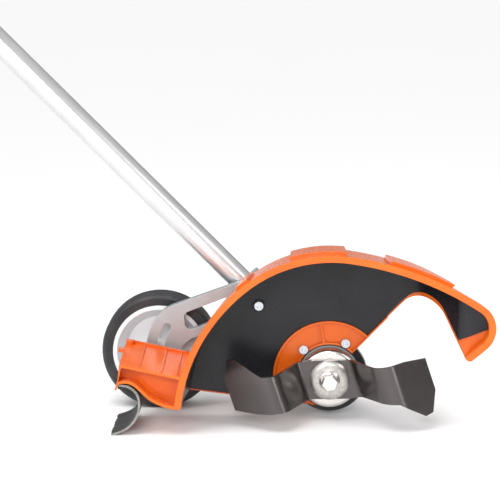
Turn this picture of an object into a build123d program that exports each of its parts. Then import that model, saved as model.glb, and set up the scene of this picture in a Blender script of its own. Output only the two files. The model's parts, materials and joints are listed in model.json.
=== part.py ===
from build123d import *
import math
import os

# Lawn edger head on its drive tube. Millimetres, +Z up.
# The row frame's origin is the centre of the tube's upper (coupling) end.
# +X is the way the machine is pushed, and the blade is on the -Y side.
# Most pieces are laid out from the head point: where the blade's axis crosses
# the front face of the guard's plate. "Depth" is the distance behind that face (+Y).

os.makedirs("parts", exist_ok=True)

# ---------------------------------------------------------------- drive line
TUBE_R = 12.7
TUBE_WALL = 1.6
TUBE_SLOPE = 45.0
HEAD_REACH = 780.0
TUBE_DEPTH = 39.0
TUBE_END = 738.0
MARK_START = 78.0
MARK_LENGTH = 6.0
MARK_RECESS = 0.5
LATCH_HOLE_R = 4.0
LATCH_HOLE_REACH = 25.0
DRIVE_SHAFT_R = 4.0
DRIVE_SHAFT_START = 12.0
DRIVE_SQUARE = 5.2
DRIVE_SQUARE_LENGTH = 22.0
BUSH_LENGTH = 28.0
BUSH_REACHES = (70.0, 370.0, 670.0)
RUNNING_GAP = 0.08
FREE_GAP = 0.3
# Lengths that reach right through what they cut or keep.
HOLE_CUT = 20.0
WIDE_CUT = 120.0

# ---------------------------------------------------------------- gears and bearings
GEAR_MODULE = 1.75
PINION_TEETH = 13
GEAR_TEETH = 19
ADDENDUM = 1.25
DEDENDUM = 1.75
TOOTH_SHARE = 0.41
PRESSURE_SLOPE = math.tan(math.radians(22))
SMALL_END = 0.66

PINION_BEARING = {"bore_r": 5.0, "outer_r": 11.0, "width": 6.0}
FRONT_BEARING = {"bore_r": 8.5, "outer_r": 20.0, "width": 12.0}
REAR_BEARING = {"bore_r": 5.0, "outer_r": 13.0, "width": 8.0}
FRONT_BEARING_DEPTH = 8.0
SHAFT_NECK_R = 8.0
REAR_BEARING_DEPTH = 55.0
PINION_BEARING_BACK = 22.0
PINION_BEARING_SPACING = 7.0
CIRCLIP_T = 1.2
FRONT_CIRCLIP_T = 1.6

# ---------------------------------------------------------------- gearbox housing
BARREL_R = 27.5
BARREL_BACK = 67.0
SOCKET_R = 18.0
SOCKET_LENGTH = 88.0
CAVITY_R = 21.0
PINION_POCKET_R = 14.2
PINION_POCKET_END = 12.0
FLANGE_R = 41.3
FLANGE_BOSS_R = 5.6
FLANGE_THICKNESS = 5.0
BOSS_LENGTH = 14.0
WEB_ANGLES = (99, 169, 279, 354)
WEB_AT_R = 31.0
WEB_SIZE = (18.0, 4.5)
WEB_LENGTH = 22.0
WEB_END = 24.0
SPIGOT_R = 32.9
SPIGOT_FRONT = -2.0
GUARD_SCREW_R = 2.5
GUARD_SCREW_PCR = 39.5
GUARD_SCREW_ANGLES = (64, 134, 204)
EAR_OUT = 31.0
EAR_HALF_HEIGHT = 9.0
EAR_LENGTH = 34.0
SPLIT = 2.4
CLAMP_SCREW_R = 3.0

# ---------------------------------------------------------------- blade and what holds it
BLADE_BACK = -16.0
BLADE_THICKNESS = 4.0
BLADE_SLANT = 18.7
BLADE_BEND_AT = 28.0
BLADE_RIDGE_AT = 55.0
BLADE_RIDGE_DEPTH = -74.0
BLADE_TIP_AT = 116.0
BLADE_BEND_R = 9.0
BLADE_RIDGE_R = 15.0
BLADE_TIP_DEPTH = -29.0
THRUST_R = 31.9
THRUST_ROUND = 4.5
COLLAR_R = 34.3
COLLAR_FRONT = -2.0
WRAP_R = 40.3
WRAP_THICKNESS = 2.0
WASHER_R = 21.3
BOLT_R = 5.0
BOLT_FLANGE_R = 11.0
BOLT_HEX_AF = 16.0
BOLT_FRONT = -37.5
BOLT_FLANGE_RIM = 1.2
BOLT_FLANGE_T = 2.6
BLADE_WASHER_RIM = 1.6
BLADE_WASHER_T = 4.5

# ---------------------------------------------------------------- guard
RIM_DEPTH = -80.0
PLATE = 3.0
PLATE_FOOT = (-27.9, -31.9)
WALL = 3.0
DRAFT = 7.0 / 80.0
CROWN_R = 144.3
HEEL_R = 192.0
BROW_R = 330.0
NOSE_R = 28.0
HEEL_ANGLE = 174.3
CROWN_START = 128.0
CROWN_END = 82.0
BROW_END = 56.9
NOSE_END = -50.0
BRINK_LENGTH = 40.0
BELOW = -75.0
BEAD_WIDTH = 7.0
BEAD_DEPTH = 7.0
LUG_FRONT = -71.0
LUG_BACK = -1.0
# Raised panels on the skirt: start angle, end angle, height.
LUGS = [(132.0, 126.0, 3.0), (107.0, 84.0, 4.0), (66.0, 42.0, 4.0)]
SCOOP_START = 66.0
SCOOP_R = 45.0
SCOOP_ANGLE = 57.0
NOSE_FLOOR = -68.0
SCOOP_END_R = 14.0
CUT_START = (22.5, 22.9)
CUT_PEAK = (103.0, 107.3)
CUT_PEAK_R = 24.3
CUT_TIP = (139.2, 32.7)
CUT_TIP_R = 5.0
HUB_HOLE_R = 34.6
RING_R = 60.0
RING_LIP = 2.5
RING_HEIGHT = 4.0
LINER = 2.0
LINER_GAP = 0.3
LINER_RIM_GAP = 0.6
LINER_TRIM = 2.0
CUT_RIB = 1.1
CUT_RIB_END = (62.0, 64.2)
RIB_ANGLE = 99.0
RIB_WIDTH = 2.4
SCREW_RELIEF_R = 5.8
GUARD_SCREW_HEAD_R = 4.75
LINER_SCREW_AT = (-75.3, 76.2)
BOX_POCKET = 18.0
BOX_WEB = 2.5
BOX_RISE = 6.5
BOX_RIBS = (-197.0, -174.0, -158.0)
BOX_RIB_WIDTH = 2.2
BOX_RIB_HEIGHT = 1.3
BOX_RIB_REACH = 75.0
BOX_LIP = 3.0
BOX_PEG_AT = (-212.5, -6.0)
BOX_PEG_R = 4.8
BOX_PEG_FOOT = 28.0
BOX_PEG_HEIGHT = 10.5
BOX_TAB = (8.5, 3.5)
BOX_TAB_AT = (-220.2, 29.2)
BOX_SPUR = [(-217.5, 14.0), (-218.9, 14.0), (-222.3, 3.0), (-220.3, 3.0), (-218.6, 9.0)]
BOX_SPUR_DEPTH = 2.6
# Rear box: its top edge from right to left, and its S-shaped underside from left to right.
BOX_TOP = [(-146, 15), (-217.0, 30)]
BOX_UNDER = [(-219.5, 8.6), (-203, 7.6), (-189.5, -5.0), (-176, -13), (-156, -17.5)]

# ---------------------------------------------------------------- wheel and its bracket
WHEEL_X = -184.3
WHEEL_Z = 17.6
WHEEL_FRONT = 30.0
WHEEL_WIDTH = 34.0
TYRE_R = 63.3
RIM_R = 51.0
AXLE_R = 4.0
SWING_X = -75.6
SWING_Z = 0.9
SWING_UP = 17.0
SWING_DOWN = 3.0
BRACKET_FRONT = 13.5
BRACKET_THICKNESS = 10.0
SADDLE_FAR = 132.0
SADDLE_NEAR = 92.0
SADDLE_HALF = 21.0
SADDLE_SCREW_AT = 16.6
SADDLE_GAP = 0.75
CAP_OUT = 17.5
CAP_SCREW_SEAT = 8.0

# ---------------------------------------------------------------- flap
FLAP_THICKNESS = 3.0
FLAP_FRONT = -77.0
FLAP_BACK = -3.0
FLAP_TOP = [(-219.3, 7.0), (-214.0, 6.8)]
FLAP_BEND_R = 17.0
FLAP_BEND = 75.0
FLAP_CURL_R = 31.0
FLAP_CURL = 85.0
FLAP_TAIL = 9.0
STRIP_THICKNESS = 1.5
STRIP_WIDTH = 5.0
STRIP_DEPTH_IN_BOX = 20.0
FLAP_SCREW_X = -216.7
FLAP_SCREW_R = 1.6
FLAP_SCREW_LENGTH = 8.5
FLAP_SCREW_DEPTHS = (-66.0, -40.0, -14.0)

# ---------------------------------------------------------------- places
SLOPE = math.radians(TUBE_SLOPE)
DOWN_TUBE = Vector(math.cos(SLOPE), 0, -math.sin(SLOPE))
OVER_TUBE = Vector(math.sin(SLOPE), 0, math.cos(SLOPE))
GEAR_APEX = DOWN_TUBE * HEAD_REACH
HEAD = GEAR_APEX - Vector(0, TUBE_DEPTH, 0)
WHEEL = HEAD + Vector(WHEEL_X, 0, WHEEL_Z)
BLADE_AXIS = Axis(HEAD, (0, 1, 0))
WHEEL_AXIS = Axis(WHEEL, (0, 1, 0))
TUBE_AXIS = Axis((0, 0, 0), DOWN_TUBE)

# Looking down on the flap's screws: local x is forward and local y the depth.
FLAP_SCREW_PLANE = Plane(origin=HEAD, x_dir=(1, 0, 0), z_dir=(0, 0, 1))
FLAP_SCREW_SPOTS = [(FLAP_SCREW_X, depth) for depth in FLAP_SCREW_DEPTHS]

# Half sections: local x is the radius, local y the distance along the axis.
HEAD_SECTION = Plane(origin=HEAD, x_dir=(1, 0, 0), z_dir=(0, 0, 1))
WHEEL_SECTION = Plane(origin=WHEEL, x_dir=(1, 0, 0), z_dir=(0, 0, 1))
TUBE_SECTION = Plane(origin=(0, 0, 0), x_dir=OVER_TUBE, z_dir=(0, 1, 0))


def side_plane(depth, centre=HEAD):
    """Plane facing the blade side at a depth; local x is forward and local y up."""
    return Plane(origin=centre + Vector(0, depth, 0), x_dir=(1, 0, 0), z_dir=(0, -1, 0))


def tube_plane(reach):
    """Plane across the tube, facing down it; local x is +Y and local y the tube's upper side."""
    return Plane(origin=DOWN_TUBE * reach, x_dir=(0, 1, 0), z_dir=DOWN_TUBE)


def polar(radius, degrees, centre=(0, 0)):
    """The point at a radius and an angle from a centre."""
    turn = math.radians(degrees)
    return (centre[0] + radius * math.cos(turn), centre[1] + radius * math.sin(turn))


def turned(section, axis, corners):
    """A turned piece: the corners of its half section, revolved about the axis."""
    with BuildPart() as piece:
        with BuildSketch(section):
            with BuildLine():
                Polyline(*corners, close=True)
            make_face()
        revolve(axis=axis)
    return piece


def tube_ring(inner, outer, start, end, section, axis):
    """A plain ring from one station on an axis to another."""
    return turned(section, axis, [(inner, start), (outer, start), (outer, end), (inner, end)])


pieces = {}

# ================================================================ drive tube
with BuildPart() as drive_tube:
    with BuildSketch(TUBE_SECTION):
        with BuildLine():
            Polyline(
                (TUBE_R - TUBE_WALL, 0),
                (TUBE_R, 0),
                (TUBE_R, MARK_START),
                (TUBE_R - MARK_RECESS, MARK_START),
                (TUBE_R - MARK_RECESS, MARK_START + MARK_LENGTH),
                (TUBE_R, MARK_START + MARK_LENGTH),
                (TUBE_R, TUBE_END),
                (TUBE_R - TUBE_WALL, TUBE_END),
                close=True,
            )
        make_face()
    revolve(axis=TUBE_AXIS)
    with BuildSketch(Plane(origin=DOWN_TUBE * LATCH_HOLE_REACH, z_dir=OVER_TUBE)):
        Circle(LATCH_HOLE_R)
    extrude(amount=TUBE_R * 2, mode=Mode.SUBTRACT)
pieces["drive_tube"] = drive_tube

# A painted band in its groove shows how far the tube goes into the coupling.
pieces["insertion_mark"] = tube_ring(
    TUBE_R - MARK_RECESS,
    TUBE_R - MARK_RECESS / 2,
    MARK_START + 1,
    MARK_START + MARK_LENGTH - 1,
    TUBE_SECTION,
    TUBE_AXIS,
)

# Plastic bushings inside the tube carry the drive shaft.
with BuildPart() as tube_bushings:
    for reach in BUSH_REACHES:
        with BuildSketch(tube_plane(reach)):
            Circle(TUBE_R - TUBE_WALL)
            Circle(DRIVE_SHAFT_R + RUNNING_GAP, mode=Mode.SUBTRACT)
            with PolarLocations(TUBE_R - TUBE_WALL, 6):
                Circle(2.2, mode=Mode.SUBTRACT)
        extrude(amount=BUSH_LENGTH)
pieces["tube_bushings"] = tube_bushings

# ================================================================ bevel gears
PINION_BACK = GEAR_MODULE * GEAR_TEETH / 2
PINION_PLANE = Plane(origin=GEAR_APEX, x_dir=(0, -1, 0), z_dir=DOWN_TUBE * -1)
GEAR_PLANE = Plane(origin=GEAR_APEX, x_dir=DOWN_TUBE * -1, z_dir=(0, -1, 0))


def bevel_gear(plane, teeth, mate_teeth, first_tooth, bore_r, hub_r, hub_length):
    """A straight bevel gear. The plane's origin is the cones' apex, and its normal runs to the gear."""
    pitch_r = GEAR_MODULE * teeth / 2
    back = GEAR_MODULE * mate_teeth / 2
    lean = math.cos(math.atan2(teeth, mate_teeth))
    tip_r = pitch_r + ADDENDUM / lean
    root_r = pitch_r - DEDENDUM / lean
    foot_r = root_r - 0.8
    half = math.pi * GEAR_MODULE * TOOTH_SHARE / 2
    tip_half = half - ADDENDUM * PRESSURE_SLOPE
    foot_half = half + (DEDENDUM + 0.8 * lean) * PRESSURE_SLOPE
    with BuildPart() as tooth:
        for scale in (1.0, SMALL_END):
            with BuildSketch(Plane.XY.offset(back * scale)):
                with BuildLine():
                    Polyline(
                        (foot_r * scale, -foot_half * scale),
                        (tip_r * scale, -tip_half * scale),
                        (tip_r * scale, tip_half * scale),
                        (foot_r * scale, foot_half * scale),
                        close=True,
                    )
                make_face()
        loft(ruled=True)
    section = Plane(origin=plane.origin, x_dir=plane.x_dir, z_dir=plane.y_dir * -1)
    with BuildPart(plane) as gear:
        with BuildSketch(section):
            with BuildLine():
                Polyline(
                    (0, back * SMALL_END),
                    (root_r * SMALL_END, back * SMALL_END),
                    (root_r, back),
                    (hub_r, back),
                    (hub_r, back + hub_length),
                    (0, back + hub_length),
                    close=True,
                )
            make_face()
        revolve(axis=Axis(plane.origin, plane.z_dir))
        with PolarLocations(0, teeth, start_angle=first_tooth):
            add(tooth.part)
        if bore_r > 0:
            with BuildSketch(plane):
                Circle(bore_r)
            extrude(amount=back + hub_length + 1, mode=Mode.SUBTRACT)
    return gear


pieces["pinion_gear"] = bevel_gear(
    PINION_PLANE, PINION_TEETH, GEAR_TEETH, first_tooth=0, bore_r=5.0, hub_r=7.0, hub_length=3.2
)
pieces["output_gear"] = bevel_gear(
    GEAR_PLANE,
    GEAR_TEETH,
    PINION_TEETH,
    first_tooth=180 / GEAR_TEETH,
    bore_r=7.0,
    hub_r=12.5,
    hub_length=5.0,
)

# ================================================================ drive shaft
# A square upper end takes the engine unit's drive; the lower end is the pinion's journal.
with BuildPart() as drive_shaft:
    with BuildSketch(TUBE_SECTION):
        with BuildLine():
            Polyline(
                (0, DRIVE_SHAFT_START + DRIVE_SQUARE_LENGTH),
                (DRIVE_SHAFT_R, DRIVE_SHAFT_START + DRIVE_SQUARE_LENGTH),
                (DRIVE_SHAFT_R, HEAD_REACH - 44),
                (PINION_BEARING["bore_r"], HEAD_REACH - 40),
                (PINION_BEARING["bore_r"], HEAD_REACH - PINION_BACK * SMALL_END),
                (0, HEAD_REACH - PINION_BACK * SMALL_END),
                close=True,
            )
        make_face()
    revolve(axis=TUBE_AXIS)
    with BuildSketch(tube_plane(DRIVE_SHAFT_START)):
        Rectangle(DRIVE_SQUARE, DRIVE_SQUARE)
    extrude(amount=DRIVE_SQUARE_LENGTH)
pieces["drive_shaft"] = drive_shaft


# ================================================================ ball bearings
def bearing(section, axis, across, start, bore_r, outer_r, width):
    """A ball bearing's outer ring, inner ring and balls; across is the plane through the balls."""
    pitch_r = (bore_r + outer_r) / 2
    ball_r = (outer_r - bore_r) * 0.28
    land = ball_r * 0.45
    ball_count = int(math.pi * pitch_r / (ball_r * 1.35))
    middle = start + width / 2
    rings = []
    for inner, outer in ((pitch_r + land, outer_r), (bore_r, pitch_r - land)):
        with BuildPart() as ring:
            with BuildSketch(section):
                with Locations(((inner + outer) / 2, middle)):
                    Rectangle(outer - inner, width)
                with Locations((pitch_r, middle)):
                    Circle(ball_r + RUNNING_GAP, mode=Mode.SUBTRACT)
            revolve(axis=axis)
        rings.append(ring)
    with BuildPart(across) as balls:
        with PolarLocations(pitch_r, ball_count):
            Sphere(ball_r)
    return rings[0], rings[1], balls


for name, depth, sizes in (
    ("front", FRONT_BEARING_DEPTH, FRONT_BEARING),
    ("rear", REAR_BEARING_DEPTH, REAR_BEARING),
):
    outer_ring, inner_ring, ball_set = bearing(
        HEAD_SECTION, BLADE_AXIS, side_plane(depth + sizes["width"] / 2), depth, **sizes
    )
    pieces[name + "_bearing_outer"] = outer_ring
    pieces[name + "_bearing_inner"] = inner_ring
    pieces[name + "_bearing_balls"] = ball_set

# Two pinion bearings sit side by side behind the pinion.
pinion_bearing_sets = []
for count in (0, 1):
    station = HEAD_REACH - PINION_BEARING_BACK - 6 - count * PINION_BEARING_SPACING
    pinion_bearing_sets.append(
        bearing(
            TUBE_SECTION,
            TUBE_AXIS,
            tube_plane(station + PINION_BEARING["width"] / 2),
            station,
            **PINION_BEARING,
        )
    )
for index, role in enumerate(("outer", "inner", "balls")):
    with BuildPart() as pair:
        for bearing_set in pinion_bearing_sets:
            add(bearing_set[index].part)
    pieces["pinion_bearing_" + role] = pair

PINION_CIRCLIP = HEAD_REACH - PINION_BEARING_BACK - 6 - PINION_BEARING_SPACING - 1.4
pieces["pinion_circlip"] = tube_ring(
    PINION_BEARING["outer_r"] - 2,
    PINION_BEARING["outer_r"] + 0.6,
    PINION_CIRCLIP,
    PINION_CIRCLIP + CIRCLIP_T,
    TUBE_SECTION,
    TUBE_AXIS,
)

# ================================================================ gearbox housing
SOCKET_MOUTH = HEAD_REACH - SOCKET_LENGTH
TUBE_STOP = PINION_CIRCLIP - 2.0
PINION_BORE_END = HEAD_REACH - PINION_BEARING_BACK + 2.0
FRONT_BORE_END = FRONT_BEARING_DEPTH + FRONT_BEARING["width"]
REAR_BORE_END = REAR_BEARING_DEPTH + REAR_BEARING["width"]
CLAMP_SCREW_REACHES = (SOCKET_MOUTH + 8, SOCKET_MOUTH + 24)
CLAMP_SCREW_X = TUBE_R + 10.5
PLUG_R = 4.0
PLUG_SEAT = 31.0
PLUG_DEPTH = 35.0
PLUG_PLANE = Plane(
    origin=HEAD + Vector(0, PLUG_DEPTH, 0), x_dir=(0, 1, 0), z_dir=OVER_TUBE
)

with BuildPart() as gearbox_housing:
    with BuildSketch(HEAD_SECTION):
        with BuildLine():
            Polyline(
                (0, SPIGOT_FRONT),
                (SPIGOT_R, SPIGOT_FRONT),
                (SPIGOT_R, PLATE + WRAP_THICKNESS),
                (FLANGE_R, PLATE + WRAP_THICKNESS),
                (FLANGE_R, PLATE + FLANGE_THICKNESS),
                (BARREL_R + 4, PLATE + FLANGE_THICKNESS + 2),
                (BARREL_R, PLATE + FLANGE_THICKNESS + 8),
                (BARREL_R, BARREL_BACK - 8),
                (BARREL_R - 3, BARREL_BACK - 3),
                (BARREL_R - 9, BARREL_BACK),
                (0, BARREL_BACK),
                close=True,
            )
        make_face()
    revolve(axis=BLADE_AXIS)
    with BuildSketch(tube_plane(SOCKET_MOUTH)):
        Circle(SOCKET_R)
    extrude(amount=SOCKET_LENGTH)
    # Ears on the far side of the socket close the split round the tube.
    with BuildSketch(tube_plane(SOCKET_MOUTH)):
        with Locations((EAR_OUT / 2, 0)):
            RectangleRounded(EAR_OUT, 2 * EAR_HALF_HEIGHT, 3)
    extrude(amount=EAR_LENGTH)
    # Bosses for the guard screws, and the grease plug's boss.
    for angle in GUARD_SCREW_ANGLES:
        with BuildSketch(side_plane(PLATE + BOSS_LENGTH)):
            with Locations(polar(GUARD_SCREW_PCR, angle)):
                Circle(FLANGE_BOSS_R)
        extrude(amount=BOSS_LENGTH)
    with BuildSketch(PLUG_PLANE):
        Circle(7.5)
    extrude(amount=PLUG_SEAT)
    # Webs brace the flange against the barrel.
    for angle in WEB_ANGLES:
        with BuildSketch(side_plane(PLATE + WEB_END)):
            with Locations(polar(WEB_AT_R, angle)):
                Rectangle(*WEB_SIZE, rotation=angle)
        extrude(amount=WEB_LENGTH)
    # Bores from the front: bearing and seal, gear cavity, rear bearing.
    with BuildSketch(HEAD_SECTION):
        with BuildLine():
            Polyline(
                (0, SPIGOT_FRONT - 1),
                (FRONT_BEARING["outer_r"], SPIGOT_FRONT - 1),
                (FRONT_BEARING["outer_r"], FRONT_BORE_END),
                (CAVITY_R, FRONT_BORE_END),
                (CAVITY_R, REAR_BEARING_DEPTH - 1),
                (REAR_BEARING["outer_r"], REAR_BEARING_DEPTH - 1),
                (REAR_BEARING["outer_r"], REAR_BORE_END),
                (0, REAR_BORE_END),
                close=True,
            )
        make_face()
    revolve(axis=BLADE_AXIS, mode=Mode.SUBTRACT)
    # Bores from the socket's mouth: tube, pinion bearings, pinion.
    with BuildSketch(TUBE_SECTION):
        with BuildLine():
            Polyline(
                (0, SOCKET_MOUTH - 1),
                (TUBE_R, SOCKET_MOUTH - 1),
                (TUBE_R, TUBE_STOP),
                (PINION_BEARING["outer_r"], TUBE_STOP),
                (PINION_BEARING["outer_r"], PINION_BORE_END),
                (PINION_POCKET_R, PINION_BORE_END),
                (PINION_POCKET_R, HEAD_REACH - PINION_POCKET_END),
                (0, HEAD_REACH - PINION_POCKET_END),
                close=True,
            )
        make_face()
    revolve(axis=TUBE_AXIS, mode=Mode.SUBTRACT)
    # Circlip grooves.
    with BuildSketch(TUBE_SECTION):
        with Locations((PINION_BEARING["outer_r"], PINION_CIRCLIP + CIRCLIP_T / 2)):
            Rectangle(CIRCLIP_T, CIRCLIP_T)
    revolve(axis=TUBE_AXIS, mode=Mode.SUBTRACT)
    with BuildSketch(HEAD_SECTION):
        with Locations((FRONT_BEARING["outer_r"], FRONT_BEARING_DEPTH - FRONT_CIRCLIP_T / 2)):
            Rectangle(FRONT_CIRCLIP_T, FRONT_CIRCLIP_T)
    revolve(axis=BLADE_AXIS, mode=Mode.SUBTRACT)
    # The clamp's split and its screw holes.
    with BuildSketch(tube_plane(SOCKET_MOUTH - 1)):
        with Locations((TUBE_R - 2, 0)):
            Rectangle(EAR_OUT, SPLIT, align=(Align.MIN, Align.CENTER))
    extrude(amount=EAR_LENGTH + 8, mode=Mode.SUBTRACT)
    for reach in CLAMP_SCREW_REACHES:
        with BuildSketch(Plane(origin=DOWN_TUBE * reach, x_dir=(0, 1, 0), z_dir=OVER_TUBE)):
            with Locations((CLAMP_SCREW_X, 0)):
                Circle(CLAMP_SCREW_R)
        extrude(amount=EAR_HALF_HEIGHT + 1, both=True, mode=Mode.SUBTRACT)
    for angle in GUARD_SCREW_ANGLES:
        with BuildSketch(side_plane(PLATE + 11)):
            with Locations(polar(GUARD_SCREW_PCR, angle)):
                Circle(GUARD_SCREW_R)
        extrude(amount=12, mode=Mode.SUBTRACT)
    with BuildSketch(PLUG_PLANE.offset(CAVITY_R - 4)):
        Circle(PLUG_R)
    extrude(amount=HOLE_CUT, mode=Mode.SUBTRACT)
pieces["gearbox_housing"] = gearbox_housing


def cap_screw(plane, places, shank_r, shank, head_r, head, socket_af):
    """Socket head screws: shank below the plane, head above it, one at each place."""
    with BuildPart() as screws:
        with BuildSketch(plane):
            with Locations(*places):
                Circle(head_r)
                RegularPolygon(socket_af / 2, 6, major_radius=False, mode=Mode.SUBTRACT)
        extrude(amount=head)
        with BuildSketch(plane):
            with Locations(*places):
                Circle(head_r)
        extrude(amount=head * 0.4)
        with BuildSketch(plane):
            with Locations(*places):
                Circle(shank_r)
        extrude(amount=-shank)
    return screws


EAR_TOP = Plane(
    origin=DOWN_TUBE * SOCKET_MOUTH + OVER_TUBE * EAR_HALF_HEIGHT,
    x_dir=(0, 1, 0),
    z_dir=OVER_TUBE,
)
pieces["gearbox_clamp_screws"] = cap_screw(
    EAR_TOP,
    [(CLAMP_SCREW_X, SOCKET_MOUTH - reach) for reach in CLAMP_SCREW_REACHES],
    shank_r=CLAMP_SCREW_R,
    shank=2 * EAR_HALF_HEIGHT,
    head_r=5.0,
    head=6.0,
    socket_af=5.0,
)

# Grease filler plug with a hexagon head.
with BuildPart() as grease_plug:
    with BuildSketch(PLUG_PLANE.offset(PLUG_SEAT)):
        RegularPolygon(5.0, 6, major_radius=False)
    extrude(amount=4.5)
    with BuildSketch(PLUG_PLANE.offset(PLUG_SEAT)):
        Circle(PLUG_R)
    extrude(amount=-9)
pieces["grease_plug"] = grease_plug

# ================================================================ output shaft and its seals
SHAFT_NOSE = BLADE_BACK - BLADE_THICKNESS + 0.5
with BuildPart() as output_shaft:
    with BuildSketch(HEAD_SECTION):
        with BuildLine():
            Polyline(
                (0, BOLT_R + 3),
                (BOLT_R, BOLT_R + 1),
                (BOLT_R, SHAFT_NOSE),
                (SHAFT_NECK_R, SHAFT_NOSE),
                (SHAFT_NECK_R, BLADE_BACK),
                (FRONT_BEARING["bore_r"], BLADE_BACK),
                (FRONT_BEARING["bore_r"], FRONT_BORE_END),
                (10.5, FRONT_BORE_END),
                (10.5, FRONT_BORE_END + 2.5),
                (7.0, FRONT_BORE_END + 2.5),
                (7.0, REAR_BEARING_DEPTH - 5),
                (REAR_BEARING["bore_r"], REAR_BEARING_DEPTH - 3),
                (REAR_BEARING["bore_r"], REAR_BORE_END - 0.3),
                (0, REAR_BORE_END - 0.3),
                close=True,
            )
        make_face()
    revolve(axis=BLADE_AXIS)
pieces["output_shaft"] = output_shaft

pieces["front_circlip"] = tube_ring(
    17.5, FRONT_BEARING["outer_r"] + 0.8, FRONT_BEARING_DEPTH - FRONT_CIRCLIP_T,
    FRONT_BEARING_DEPTH, HEAD_SECTION, BLADE_AXIS,
)
SEAL_FRONT = SPIGOT_FRONT + 0.8
pieces["shaft_seal"] = turned(
    HEAD_SECTION,
    BLADE_AXIS,
    [
        (FRONT_BEARING["bore_r"] + RUNNING_GAP, SEAL_FRONT + 2.4),
        (FRONT_BEARING["bore_r"] + 3, SEAL_FRONT),
        (FRONT_BEARING["outer_r"], SEAL_FRONT),
        (FRONT_BEARING["outer_r"], FRONT_BEARING_DEPTH - FRONT_CIRCLIP_T),
        (FRONT_BEARING["outer_r"] - 2, FRONT_BEARING_DEPTH - FRONT_CIRCLIP_T),
        (FRONT_BEARING["outer_r"] - 2, SEAL_FRONT + 2),
        (FRONT_BEARING["bore_r"] + RUNNING_GAP, SEAL_FRONT + 3.6),
    ],
)
# A black plate with a short lip keeps grass from winding round the shaft.
with BuildPart() as wrap_collar:
    with BuildSketch(HEAD_SECTION):
        with BuildLine():
            Polyline(
                (SPIGOT_R, COLLAR_FRONT),
                (COLLAR_R, COLLAR_FRONT),
                (COLLAR_R, PLATE),
                (WRAP_R, PLATE),
                (WRAP_R, PLATE + WRAP_THICKNESS),
                (SPIGOT_R, PLATE + WRAP_THICKNESS),
                close=True,
            )
        make_face()
    revolve(axis=BLADE_AXIS)
    with BuildSketch(side_plane(PLATE + BOSS_LENGTH)):
        with Locations(*[polar(GUARD_SCREW_PCR, angle) for angle in GUARD_SCREW_ANGLES]):
            Circle(FLANGE_BOSS_R + FREE_GAP)
    extrude(amount=HOLE_CUT, mode=Mode.SUBTRACT)
pieces["wrap_collar"] = wrap_collar

# ================================================================ blade and what holds it
with BuildPart() as thrust_plate:
    with BuildSketch(HEAD_SECTION):
        with BuildLine():
            rim_line = Polyline((8.5, -4), (14, -4), (16, -12.8), (28.5, -12.8), (29.6, -6))
            foot_line = Line(rim_line @ 1, (THRUST_R, -6))
            side_line = Line(foot_line @ 1, (THRUST_R, BLADE_BACK + THRUST_ROUND))
            shoulder = ThreePointArc(
                side_line @ 1,
                polar(THRUST_ROUND, -45, (THRUST_R - THRUST_ROUND, BLADE_BACK + THRUST_ROUND)),
                (THRUST_R - THRUST_ROUND, BLADE_BACK),
            )
            Polyline(shoulder @ 1, (8.5, BLADE_BACK), rim_line @ 0)
        make_face()
    revolve(axis=BLADE_AXIS)
pieces["thrust_plate"] = thrust_plate

# The blade is one bent strip. Its section is drawn across the bends, then cut to its outline.
SLANT = math.radians(BLADE_SLANT)
ALONG_BEND = Vector(-math.sin(SLANT), 0, math.cos(SLANT))
ACROSS_BEND = Vector(math.cos(SLANT), 0, math.sin(SLANT))
BEND_SECTION = Plane(origin=HEAD, x_dir=ACROSS_BEND, z_dir=ALONG_BEND)
FLAT_MIDDLE = BLADE_BACK - BLADE_THICKNESS / 2
# One wing's outline, from its lower root round the tip to its upper root.
BLADE_HALF = [
    (-22, -21.5), (-40, -22.5), (-76, -28), (-99.5, -28.5), (-110.5, 4), (-107.5, 31.5),
    (-101, 30), (-72, 14), (-56, 14.5), (-34, 18.5), (-22, 20.5),
]
with BuildPart() as blade:
    with BuildSketch(BEND_SECTION):
        with BuildLine():
            FilletPolyline(
                (-BLADE_TIP_AT, BLADE_TIP_DEPTH),
                (-BLADE_RIDGE_AT, BLADE_RIDGE_DEPTH),
                (-BLADE_BEND_AT, FLAT_MIDDLE),
                (BLADE_BEND_AT, FLAT_MIDDLE),
                (BLADE_RIDGE_AT, BLADE_RIDGE_DEPTH),
                (BLADE_TIP_AT, BLADE_TIP_DEPTH),
                radius=[BLADE_RIDGE_R, BLADE_BEND_R, BLADE_BEND_R, BLADE_RIDGE_R],
            )
        trace(line_width=BLADE_THICKNESS)
    extrude(amount=WIDE_CUT / 2, both=True)
    with BuildSketch(side_plane(0)):
        with BuildLine():
            Polyline(*BLADE_HALF, *[(-x, -z) for x, z in BLADE_HALF], close=True)
        make_face()
    extrude(amount=WIDE_CUT, mode=Mode.INTERSECT)
    with BuildSketch(side_plane(0)):
        Circle(SHAFT_NECK_R)
    extrude(amount=WIDE_CUT, mode=Mode.SUBTRACT)
pieces["blade"] = blade

BLADE_FRONT = BLADE_BACK - BLADE_THICKNESS
with BuildPart() as blade_washer:
    with BuildSketch(HEAD_SECTION):
        with BuildLine():
            back_line = Polyline((BOLT_R, BLADE_FRONT), (WASHER_R, BLADE_FRONT))
            edge_line = Line(back_line @ 1, (WASHER_R, BLADE_FRONT - BLADE_WASHER_RIM))
            crown = (WASHER_R * 0.6, BLADE_FRONT - BLADE_WASHER_T)
            dome_line = ThreePointArc(edge_line @ 1, (WASHER_R - 3, BLADE_FRONT - 3.6), crown)
            Polyline(dome_line @ 1, (BOLT_R, BLADE_FRONT - BLADE_WASHER_T), back_line @ 0)
        make_face()
    revolve(axis=BLADE_AXIS)
pieces["blade_washer"] = blade_washer

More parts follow.
